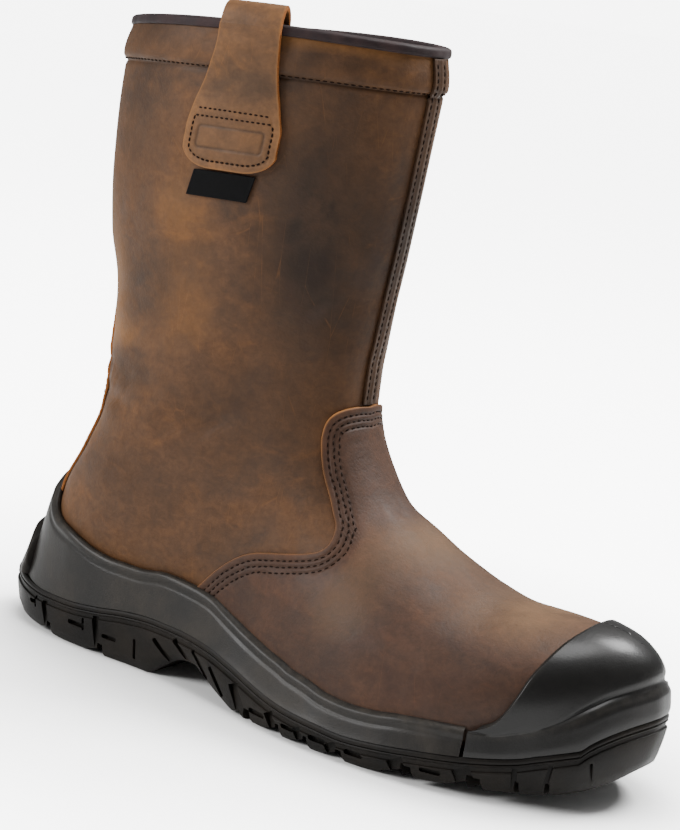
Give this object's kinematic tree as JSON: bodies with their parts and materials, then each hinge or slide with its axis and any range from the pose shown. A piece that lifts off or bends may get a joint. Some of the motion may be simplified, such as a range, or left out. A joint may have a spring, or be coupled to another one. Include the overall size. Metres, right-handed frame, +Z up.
{
  "type": "pull-on safety boot",
  "caption": "Pull-on safety boot for the right foot: leather shaft and vamp, padded collar with a pull tab, moulded rubber sole and a rubber toe bumper.",
  "frame": {"origin": "on the floor under the middle of the heel's flat rest, in the boot's middle plane", "axes": "+X points to the toe, +Y to the inner side of the foot, +Z up"},
  "size_m": [0.3191, 0.1087, 0.2923],
  "materials": {
    "upper_leather": "waxed pull-up leather, mid brown with darker and tan patches",
    "vamp_leather": "waxed pull-up leather, reddish brown with a soft sheen",
    "strap_leather": "waxed leather, tan, with raw orange edges",
    "binding": "soft dark brown strip",
    "lining": "dark grey woven lining",
    "sole_rubber": "satin black-grey rubber",
    "bumper_rubber": "smooth black rubber with a soft highlight",
    "tread_rubber": "matt black-grey rubber",
    "label": "black woven label, blank"
  },
  "bodies": {
    "root": {"upper": "upper_leather", "vamp": "vamp_leather", "insole": "lining", "midsole": "sole_rubber", "toe_cap": "bumper_rubber", "outsole": "tread_rubber", "collar_binding": "binding", "front_seam": "upper_leather", "back_strip": "strap_leather", "pull_strap": "strap_leather", "side_label": "label"}
  },
  "joints": []
}
